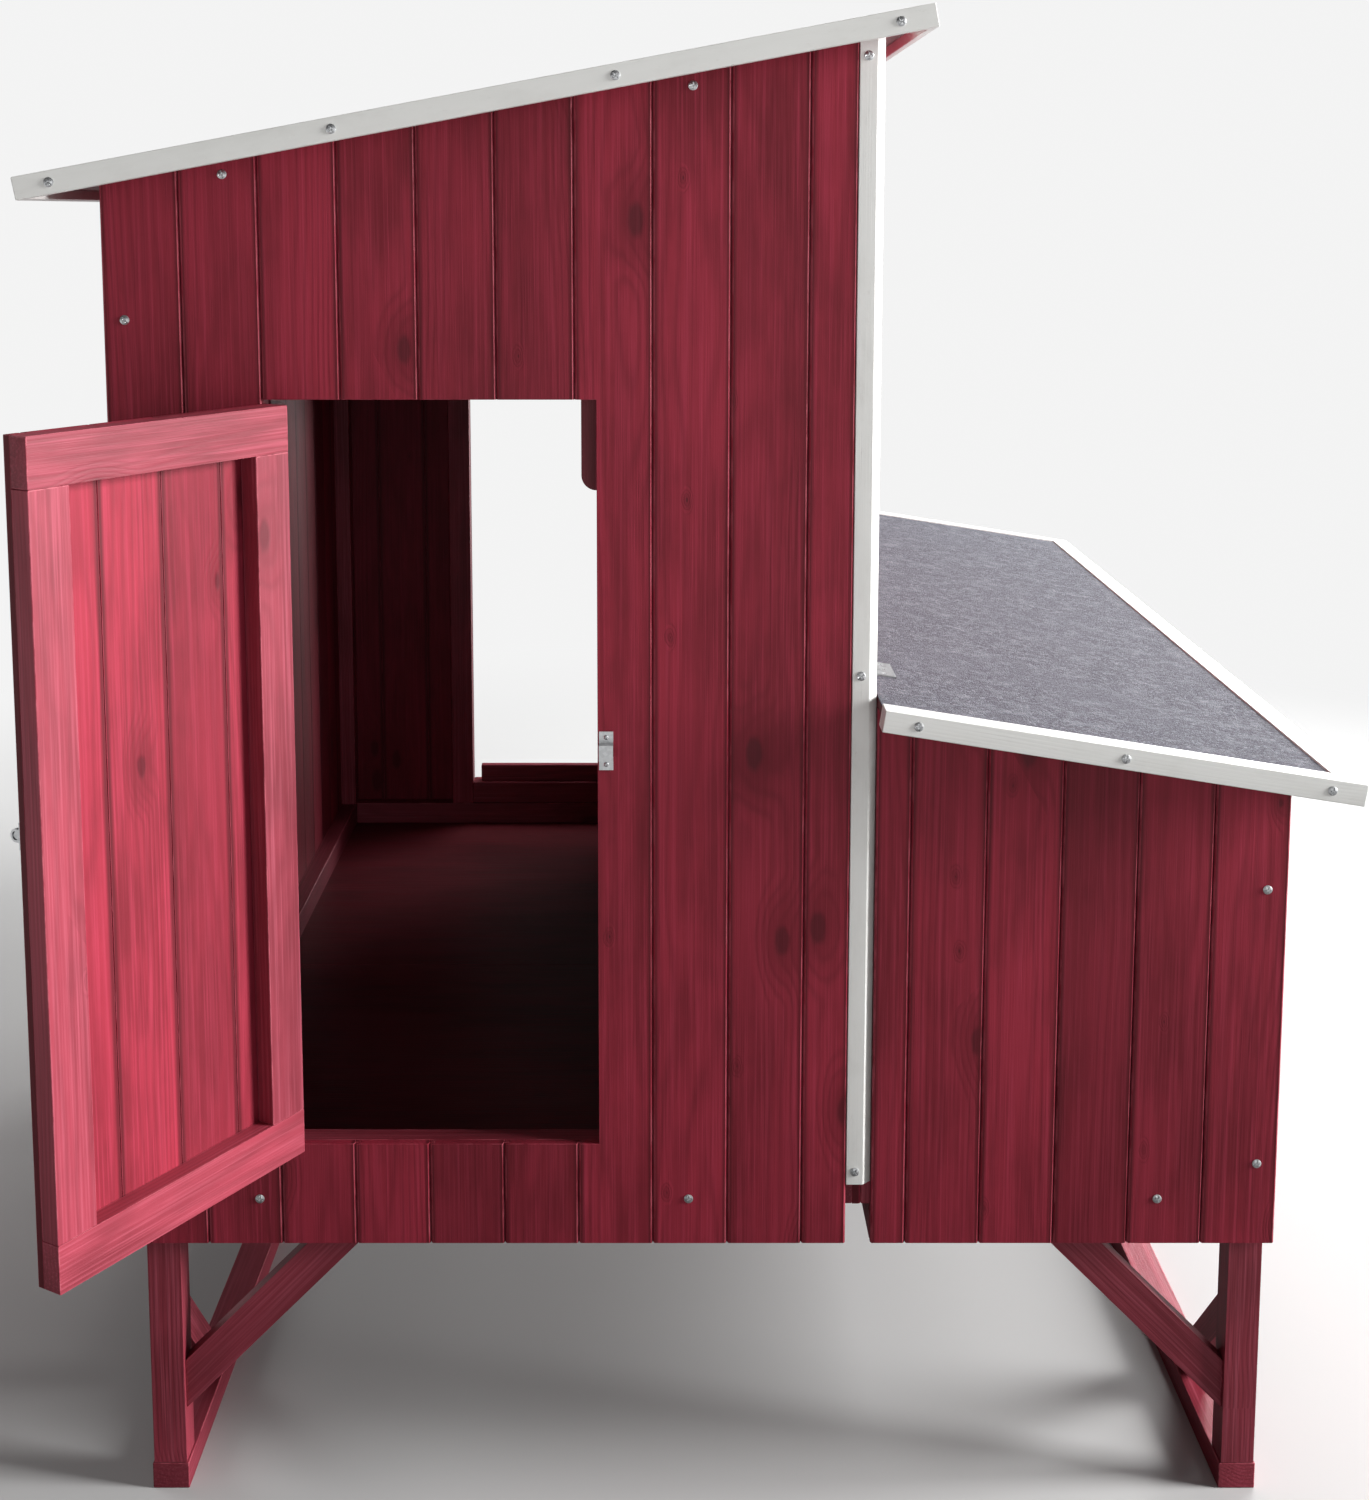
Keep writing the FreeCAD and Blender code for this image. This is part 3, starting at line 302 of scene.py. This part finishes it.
# ---- shader tools ---------------------------------------------------------------------------
class Shader:
    """Adds nodes to one material. Each call gives the new node's output."""

    def __init__(self, name):
        self.material = bpy.data.materials.new(name)
        self.material.use_nodes = True
        self.tree = self.material.node_tree
        self.surface = self.tree.nodes["Principled BSDF"]

    def put(self, socket, value):
        if isinstance(value, bpy.types.NodeSocket):
            self.tree.links.new(value, socket)
        elif isinstance(value, tuple) and len(value) == 3 and socket.type == "RGBA":
            socket.default_value = (*value, 1.0)
        else:
            socket.default_value = value

    def add(self, kind, inputs, settings=None):
        node = self.tree.nodes.new("ShaderNode" + kind)
        for key, value in (settings or {}).items():
            setattr(node, key, value)
        for key, value in inputs.items():
            self.put(node.inputs[key], value)
        return node

    def attribute(self, name, output):
        return self.add("Attribute", {}, {"attribute_name": name}).outputs[output]

    def object_place(self):
        return self.add("TexCoord", {}).outputs["Object"]

    def scaled(self, vector, *scale):
        inputs = {"Vector": vector, "Scale": scale}
        return self.add("Mapping", inputs).outputs[0]

    def math(self, operation, a, b=0.0, c=0.0):
        return self.add("Math", {0: a, 1: b, 2: c}, {"operation": operation}).outputs[0]

    def noise(self, vector, scale, detail=2.0, rough=0.5):
        inputs = {"Vector": vector, "Scale": scale, "Detail": detail, "Roughness": rough}
        return self.add("TexNoise", inputs).outputs[0]

    def voronoi(self, vector, scale, output="Distance", dimensions="3D"):
        inputs = {"Vector": vector, "Scale": scale}
        settings = {"voronoi_dimensions": dimensions}
        return self.add("TexVoronoi", inputs, settings).outputs[output]

    def between(self, value, low, high, out_low=0.0, out_high=1.0):
        """The value from low to high as out_low to out_high, smooth at both ends."""
        inputs = {0: value, 1: low, 2: high, 3: out_low, 4: out_high}
        return self.add("MapRange", inputs, {"interpolation_type": "SMOOTHSTEP"}).outputs[0]

    def mix(self, factor, a, b, blend="MIX"):
        node = self.add("Mix", {}, {"data_type": "RGBA", "blend_type": blend})
        for socket, value in zip((node.inputs[0], node.inputs[6], node.inputs[7]),
                                 (factor, a, b)):
            self.put(socket, value)
        return node.outputs[2]

    def bump(self, height, strength, distance):
        inputs = {"Height": height, "Strength": strength, "Distance": distance}
        return self.add("Bump", inputs).outputs[0]

    def finish(self, colour, roughness, normal, **uniform):
        self.put(self.surface.inputs["Base Color"], colour)
        self.put(self.surface.inputs["Roughness"], roughness)
        self.put(self.surface.inputs["Normal"], normal)
        for key, value in uniform.items():
            self.surface.inputs[key.replace("_", " ")].default_value = value
        return self.material


def growth(shader, grain, knots):
    """Ring lines, knot centres and knot haloes of a softwood, from the grain coordinates."""
    parts = shader.add("SeparateXYZ", {0: grain}).outputs
    flat = shader.add("CombineXYZ", {0: parts[0], 1: parts[1]}).outputs[0]
    spots = shader.scaled(flat, *KNOTS_PER_METRE, 1.0)
    distance = shader.voronoi(spots, 1.0, dimensions="2D")
    size = shader.voronoi(spots, 1.0, "Color", dimensions="2D")
    size = shader.between(size, 0.3, 1.0, *KNOT_SIZE)
    ragged = shader.noise(shader.scaled(grain, 60, 160, 160), 1.0, 2.0)
    distance = shader.math("MULTIPLY_ADD", ragged, 0.022, distance)
    share = shader.math("DIVIDE", distance, size)
    knot = shader.between(share, 0.75, 1.35, knots, 0.0)
    halo = shader.between(share, 0.9, 4.6, knots, 0.0)
    radius = shader.add("VectorMath", {0: shader.add(
        "CombineXYZ", {1: parts[1], 2: parts[2]}).outputs[0]}, {"operation": "LENGTH"}).outputs[1]
    sway = shader.noise(shader.scaled(grain, 1.7, 11, 11), 1.0, 2.0)
    radius = shader.math("MULTIPLY_ADD", sway, 0.034, radius)
    radius = shader.math("MULTIPLY_ADD", halo, 0.011, radius)
    phase = shader.math("MULTIPLY", radius, 2 * math.pi / RING_SPACING)
    wave = shader.math("MULTIPLY_ADD", shader.math("SINE", phase), 0.5, 0.5)
    return shader.math("POWER", wave, 2.2), knot, halo


def rim(shader, near, far):
    """1 at a timber's long edges, falling to 0 inside them."""
    across = shader.math("ABSOLUTE", shader.attribute("across", "Fac"))
    inside = shader.math("SUBTRACT", shader.attribute("half_width", "Fac"), across)
    return shader.between(inside, near, far, 1.0, 0.0)


def stained_wood(name, dark, mid, light, knots=1.0, wear=0.0, groove_shade=0.0, gloss=0.18):
    """A thin stain on softwood with rings, knots, streaks, blotches and painted groove shade."""
    shader = Shader(name)
    grain = shader.attribute("grain", "Vector")
    tone = shader.attribute("tone", "Fac")
    rings, knot, halo = growth(shader, grain, knots)
    streaks = shader.noise(shader.scaled(grain, 5, 420, 420), 1.0, 3.0, 0.6)
    fibres = shader.noise(shader.scaled(grain, 26, 1500, 1500), 1.0, 2.0)
    clouds = shader.noise(shader.scaled(grain, 4.2, 13, 13), 1.0, 4.0, 0.62)
    colour = shader.mix(shader.between(clouds, 0.28, 0.66), dark, mid)
    lift = shader.math("MULTIPLY", shader.between(streaks, 0.42, 0.74), 0.55)
    colour = shader.mix(lift, colour, light)
    board = shader.between(tone, 0.0, 1.0, 0.80, 1.20)
    board = shader.add("CombineColor", {0: board, 1: board, 2: board}).outputs[0]
    colour = shader.mix(1.0, colour, board, "MULTIPLY")
    colour = shader.mix(shader.math("MULTIPLY", rings, 0.34), colour, dark)
    colour = shader.mix(shader.math("MULTIPLY", halo, 0.62), colour, dark)
    colour = shader.mix(shader.math("MULTIPLY", knot, 0.62), colour, STAIN_KNOT)
    # painted shade: darker towards each board's long edges, where the grooves lie in shade
    if groove_shade:
        edge = shader.math("MULTIPLY", rim(shader, *GROOVE_SHADE_RIM), groove_shade)
        colour = shader.mix(edge, colour, STAIN_GROOVE_SHADE)
    if wear:
        rubbed = shader.noise(shader.scaled(grain, 30, 90, 90), 1.0, 4.0, 0.6)
        rubbed = shader.math("MULTIPLY", shader.between(rubbed, 0.40, 0.62), wear)
        colour = shader.mix(rubbed, colour, STAIN_WORN)
    rough = shader.math("MULTIPLY_ADD", streaks, 0.22, 0.40)
    rough = shader.math("MULTIPLY_ADD", knot, -0.08, rough)
    height = shader.math("MULTIPLY_ADD", streaks, 0.7, shader.math("MULTIPLY", fibres, 0.45))
    height = shader.math("MULTIPLY_ADD", rings, -0.28, height)
    height = shader.math("MULTIPLY_ADD", knot, -0.5, height)
    normal = shader.bump(height, 0.42, 0.0006)
    return shader.finish(colour, rough, normal, Specular_IOR_Level=gloss)


def white_paint(name, wear=0.0):
    """Opaque white paint with brush marks, a little grain and dull patches."""
    shader = Shader(name)
    grain = shader.attribute("grain", "Vector")
    rings, knot, halo = growth(shader, grain, 0.7)
    brush = shader.noise(shader.scaled(grain, 7, 700, 700), 1.0, 3.0, 0.6)
    patches = shader.noise(shader.scaled(grain, 9, 22, 22), 1.0, 5.0, 0.66)
    dirt = shader.noise(shader.scaled(grain, 60, 160, 160), 1.0, 5.0, 0.7)
    dull = shader.math("MULTIPLY", shader.between(patches, 0.44, 0.72), 0.50)
    colour = shader.mix(dull, PAINT_CLEAN, PAINT_DULL)
    colour = shader.mix(shader.math("MULTIPLY", shader.between(dirt, 0.60, 0.78), 0.35),
                        colour, PAINT_WORN)
    colour = shader.mix(shader.math("MULTIPLY", halo, 0.16), colour, PAINT_WORN)
    colour = shader.mix(shader.math("MULTIPLY", rings, 0.07), colour, PAINT_DULL)
    if wear:
        rubbed = shader.math("MULTIPLY", shader.between(dirt, 0.44, 0.60), wear)
        colour = shader.mix(rubbed, colour, PAINT_WORN)
    rough = shader.math("MULTIPLY_ADD", patches, 0.20, 0.32)
    height = shader.math("MULTIPLY_ADD", brush, 0.6, shader.math("MULTIPLY", rings, -0.20))
    height = shader.math("MULTIPLY_ADD", knot, -0.5, height)
    return shader.finish(colour, rough, shader.bump(height, 0.35, 0.0005))


def mineral_felt():
    """Roofing felt with a coat of crushed slate granules."""
    shader = Shader("mineral_felt_granules")
    place = shader.object_place()
    grains = shader.voronoi(place, 520.0)
    tint = shader.add("SeparateColor", {0: shader.voronoi(place, 520.0, "Color")}).outputs[0]
    coarse = shader.voronoi(place, 210.0, "Color")
    coarse = shader.add("SeparateColor", {0: coarse}).outputs[1]
    mottle = shader.noise(place, 38.0, 5.0, 0.68)
    broad = shader.noise(place, 5.0, 3.0, 0.6)
    colour = shader.mix(shader.between(tint, 0.05, 0.95), FELT_DARK, FELT_MID)
    colour = shader.mix(shader.math("MULTIPLY", shader.between(mottle, 0.45, 0.72), 0.55),
                        colour, FELT_LIGHT)
    colour = shader.mix(shader.between(tint, 0.88, 0.95, 0.0, 0.75), colour, FELT_LIGHT)
    colour = shader.mix(shader.between(coarse, 0.90, 0.96, 0.0, 0.45), colour, FELT_LIGHT)
    colour = shader.mix(shader.between(broad, 0.40, 0.70, 0.0, 0.40), colour, FELT_MID)
    height = shader.math("MULTIPLY_ADD", grains, -1.0, shader.math("MULTIPLY", mottle, 1.6))
    height = shader.math("MULTIPLY_ADD", broad, 2.5, height)
    rough = shader.between(tint, 0.0, 1.0, 0.96, 0.74)
    return shader.finish(colour, rough, shader.bump(height, 0.9, 0.0011))


def zinc_steel():
    """Zinc-plated steel with faint spangles, smears and a little dulling."""
    shader = Shader("zinc_plate")
    place = shader.object_place()
    spangle = shader.add("SeparateColor", {0: shader.voronoi(place, 340.0, "Color")}).outputs[0]
    smear = shader.noise(place, 90.0, 4.0, 0.6)
    scratch = shader.noise(shader.scaled(place, 500, 500, 2600), 1.0, 2.0)
    factor = shader.math("MULTIPLY_ADD", spangle, 0.35, shader.math("MULTIPLY", smear, 0.65))
    colour = shader.mix(factor, ZINC_DARK, ZINC_LIGHT)
    rough = shader.math("MULTIPLY_ADD", smear, 0.30, 0.22)
    height = shader.math("MULTIPLY_ADD", spangle, 0.4, scratch)
    return shader.finish(colour, rough, shader.bump(height, 0.22, 0.0002), Metallic=1.0)


def finishes():
    """The faces' finish and the worn edges' finish of each of the record's slots."""
    stain = (STAIN_DARK, STAIN_MID, STAIN_LIGHT)
    batten = (BATTEN_DARK, BATTEN_MID, BATTEN_LIGHT)
    floor = (FLOOR_DARK, FLOOR_LIGHT, STAIN_MID)
    felt, zinc = mineral_felt(), zinc_steel()
    return {"stained_boards": (stained_wood("stained_board", *stain, groove_shade=0.85),
                               stained_wood("stained_board_edge", *stain, wear=0.55)),
            "stained_battens": (stained_wood("stained_batten", *batten, knots=0.8, gloss=0.32),
                                stained_wood("stained_batten_edge", *batten, knots=0.8,
                                             wear=0.85, gloss=0.32)),
            "floor_board": (stained_wood("stained_floor", *floor, knots=0.5),
                            stained_wood("stained_floor_edge", *floor, knots=0.5, wear=0.5)),
            "white_paint": (white_paint("white_paint_face"),
                            white_paint("white_paint_edge", wear=0.25)),
            "mineral_felt": (felt, felt),
            "zinc_steel": (zinc, zinc)}


def dress_nodes(looks):
    """Gives every node its finish, its grain and its rounded edges."""
    group = merge_group()
    for name in sorted(nodes):
        thing = nodes[name]
        slot = thing.data.materials[0].name
        thing.data.materials.clear()
        if slot not in BEVELS:
            thing.data.materials.append(looks[slot][0])
            continue
        for look in looks[slot]:
            thing.data.materials.append(look)
        for polygon in mark_solids(thing):
            thing.data.polygons[polygon].material_index = 1
        round_edges(thing, BEVELS[slot], group)


# ---- making the screws ----------------------------------------------------------------------
def back_and_front(mesh, polygons):
    """Away from a solid's largest flat face, and how far its back and front lie that way."""
    areas = {}
    for p in polygons:
        normal = mesh.polygons[p].normal
        key = tuple(round(c, FACING_DIGITS) for c in normal)
        area, kept = areas.get(key, (0.0, normal.copy()))
        areas[key] = (area + mesh.polygons[p].area, kept)
    outward = -max(areas.values(), key=lambda entry: entry[0])[1]
    reach = [mesh.vertices[v].co.dot(outward) for p in polygons for v in mesh.polygons[p].vertices]
    return outward, min(reach), max(reach)


def middle_of(mesh, polygons):
    """The middle of the box around some polygons."""
    places = np.array([mesh.vertices[v].co for p in polygons for v in mesh.polygons[p].vertices])
    return Vector((places.min(0) + places.max(0)) / 2)


def at_height(place, outward, height):
    """The place moved along outward until it lies at that height."""
    return place + outward * (height - place.dot(outward))


def domed_screws(mesh):
    """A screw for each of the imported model's domed heads."""
    found = []
    for polygons, _ in solids_of(mesh):
        outward, back, front = back_and_front(mesh, polygons)
        middle = middle_of(mesh, polygons)
        radius = max((mesh.vertices[v].co - middle).cross(outward).length
                     for p in polygons for v in mesh.polygons[p].vertices)
        drop = DOME_SIDE * (front - back)
        found.append((at_height(middle, outward, back + drop), outward, radius,
                      front - back - drop, (radius, drop)))
    return found


def sunk_screws(mesh):
    """A countersunk screw for each conical hole of the hinge leaves."""
    holes = []
    for polygons, edges in solids_of(mesh):
        if not edges or edges[0].length < LEAF_EDGE:
            continue
        through = axes_of(edges)[2]
        for p in (mesh.polygons[n] for n in polygons):
            corners = [mesh.vertices[v].co for v in p.vertices]
            size = max((a - b).length for a in corners for b in corners)
            facing = abs(p.normal.dot(through))
            if size > CONE_POLYGON or not CONE_FACING[0] < facing < CONE_FACING[1]:
                continue
            near = next((h for h in holes if (h[0] - p.center).length < HOLE_SPACING), None)
            if near is None:
                near = (p.center.copy(), [])
                holes.append(near)
            near[1].append(p.index)
    found = []
    for _, polygons in holes:
        outward = sum((mesh.polygons[p].normal * mesh.polygons[p].area for p in polygons),
                      Vector()).normalized()
        middle = middle_of(mesh, polygons)
        corners = [mesh.vertices[v].co for p in polygons for v in mesh.polygons[p].vertices]
        radius = max((c - middle).cross(outward).length for c in corners) - SUNK_PLAY
        face = max(c.dot(outward) for c in corners) - SUNK_PLAY
        found.append((at_height(middle, outward, face), outward, radius, 0.0,
                      (radius * SUNK_TAPER, radius * SUNK_DEPTH)))
    return found


def plate_screws(mesh, thickness, inset_along, inset_across):
    """Small flat-headed screws near the corners of each solid's base plate."""
    found = []
    for polygons, edges in solids_of(mesh):
        outward, back, _ = back_and_front(mesh, polygons)
        middle = at_height(middle_of(mesh, polygons), outward, back + thickness)
        along, across, _ = axes_of(edges)
        reach = []
        for axis, inset in ((along, inset_along), (across, inset_across)):
            places = [mesh.vertices[v].co.dot(axis) for p in polygons
                      for v in mesh.polygons[p].vertices]
            reach.append((max(places) - min(places)) / 2 - inset)
        sides = (-1, 1) if reach[1] > LEVEL_PLAY else (0,)
        for a in (-1, 1):
            for b in sides:
                place = middle + along * a * reach[0] + across * b * reach[1]
                found.append((place + outward * PLATE_SCREW_SIDE, outward, PLATE_SCREW_RADIUS,
                              PLATE_SCREW_CROWN, (PLATE_SCREW_RADIUS, PLATE_SCREW_SIDE)))
    return found


def add_screw(mesh, draw, place, outward, radius, crown, foot):
    """One screw head with a cross recess. The foot is its underside's radius and depth."""
    side = Quaternion(outward, draw.uniform(0, math.pi / 2)) @ outward.orthogonal().normalized()
    other = outward.cross(side)
    rows = []
    for ring in range(1, SCREW_RINGS + 1):
        row = []
        for turn in range(SCREW_TURNS):
            angle = 2 * math.pi * turn / SCREW_TURNS
            x, y = (ring / SCREW_RINGS * f(angle) for f in (math.cos, math.sin))
            rise = crown * (1 - x * x - y * y)
            narrow, long = sorted((abs(x), abs(y)))
            if narrow < CROSS_ARM and long < CROSS_REACH:
                rise -= radius * CROSS_DEPTH * (1 - long / CROSS_REACH / 2)
            row.append(mesh.verts.new(place + (side * x + other * y) * radius + outward * rise))
        rows.append(row)
    foot_radius, foot_depth = foot
    rows.append([mesh.verts.new(place + (v.co - place) * foot_radius / radius
                                - outward * foot_depth) for v in rows[-1]])
    centre = mesh.verts.new(place + outward * (crown - radius * CROSS_DEPTH))
    for turn in range(SCREW_TURNS):
        after = (turn + 1) % SCREW_TURNS
        mesh.faces.new((centre, rows[0][turn], rows[0][after]))
        for inner, outer in zip(rows, rows[1:]):
            mesh.faces.new((inner[turn], outer[turn], outer[after], inner[after]))
    mesh.faces.new(reversed(rows[-1]))


def screw_group(name, node, screws, finish, replaces=False):
    """The screws of one node as one piece that moves with it."""
    mesh, draw = bmesh.new(), random.Random(name)
    for screw in screws:
        add_screw(mesh, draw, *screw)
    data = bpy.data.meshes.new(name)
    mesh.to_mesh(data)
    mesh.free()
    data.materials.append(finish)
    thing = bpy.data.objects.new(name, data)
    bpy.context.scene.collection.objects.link(thing)
    bodies = frame["record"]["behaviour"]["bodies"]
    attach(thing, next(body for body in bodies if node in bodies[body]))
    if replaces:
        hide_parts(node)


def add_screws(finish):
    """Domed screws in the boards, sunk ones in the hinges, small ones in bolts and keepers."""
    for node in ("house_screws", "lid_screws"):
        screw_group(node + "_cross_heads", node, domed_screws(nodes[node].data), finish,
                    replaces=True)
    for node in sorted(n for n in nodes if n.endswith("hinge_leaves")):
        screw_group(node.replace("leaves", "screws"), node, sunk_screws(nodes[node].data), finish)
    for node, plate in PLATES.items():
        screw_group(node + "_screws", node, plate_screws(nodes[node].data, *plate), finish)


# ---- stage ----------------------------------------------------------------------------------
def aim(thing, place, target):
    """Puts a light at a place and points it at a target."""
    thing.location = place
    thing.rotation_euler = (target - place).to_track_quat("-Z", "Y").to_euler()


def soft_light(name, size, power, place, target):
    """A rectangular studio light, which the camera doesn't see."""
    lamp = bpy.data.lights.new(name, "AREA")
    lamp.shape = "RECTANGLE"
    lamp.size, lamp.size_y = size
    lamp.energy = power
    thing = bpy.data.objects.new(name, lamp)
    thing.visible_camera = False
    bpy.context.scene.collection.objects.link(thing)
    aim(thing, place, target)


def surroundings():
    """A plain pale world. The camera sees it brighter than it lights the coop."""
    world = bpy.data.worlds.new("studio")
    world.use_nodes = True
    tree = world.node_tree
    background = tree.nodes["Background"]
    background.inputs["Color"].default_value = (1.0, 1.0, 1.0, 1.0)
    seen = tree.nodes.new("ShaderNodeLightPath")
    strength = tree.nodes.new("ShaderNodeMapRange")
    strength.inputs["To Min"].default_value = SKY_LIGHT
    strength.inputs["To Max"].default_value = SKY_PALE
    tree.links.new(seen.outputs["Is Camera Ray"], strength.inputs["Value"])
    tree.links.new(strength.outputs["Result"], background.inputs["Strength"])
    bpy.context.scene.world = world


def floor_paint():
    """Pale floor paint that fades into the surroundings a few metres away.

    The camera sees it brighter than it lights the coop.
    """
    shader = Shader("studio_floor_paint")
    place = shader.object_place()
    cast = shader.noise(place, 1.5, 3.0)
    seen = shader.add("LightPath", {}).outputs["Is Camera Ray"]
    colour = shader.mix(seen, FLOOR_BOUNCE, FLOOR_PALE)
    distance = shader.add("VectorMath", {0: place}, {"operation": "LENGTH"}).outputs[1]
    white = shader.add("Emission", {"Color": (1.0, 1.0, 1.0), "Strength": SKY_PALE}).outputs[0]
    blend = {0: shader.between(distance, *FLOOR_FADE), 1: shader.surface.outputs[0], 2: white}
    faded = shader.add("MixShader", blend).outputs[0]
    shader.tree.links.new(faded, shader.tree.nodes["Material Output"].inputs["Surface"])
    return shader.finish(colour, 0.8, shader.bump(cast, 0.02, 0.001))


def studio():
    """Pale floor, pale surroundings, and large lights all around, strongest at the right."""
    bpy.ops.mesh.primitive_circle_add(vertices=FLOOR_SIDES, radius=FLOOR_RADIUS, fill_type="NGON")
    floor = bpy.context.object
    floor.name = "studio_floor"
    floor.data.materials.append(floor_paint())
    surroundings()
    for light in LIGHTS:
        soft_light(*light)
    bpy.context.scene.view_settings.view_transform = "Standard"


def camera():
    """A camera in front of the coop, a little above its doorway."""
    lens = bpy.data.cameras.new("camera")
    lens.lens = CAMERA_LENS
    lens.shift_x, lens.shift_y = CAMERA_SHIFT
    thing = bpy.data.objects.new("camera", lens)
    bpy.context.scene.collection.objects.link(thing)
    thing.location = (-CAMERA_LEFT, cad_box[0].y - CAMERA_BACK, CAMERA_HEIGHT)
    thing.rotation_euler = (math.radians(CAMERA_TILT), 0, 0)
    bpy.context.scene.camera = thing


camera()
studio()
looks_of_slots = finishes()
dress_nodes(looks_of_slots)
add_screws(looks_of_slots["zinc_steel"][0])

bpy.context.view_layer.update()
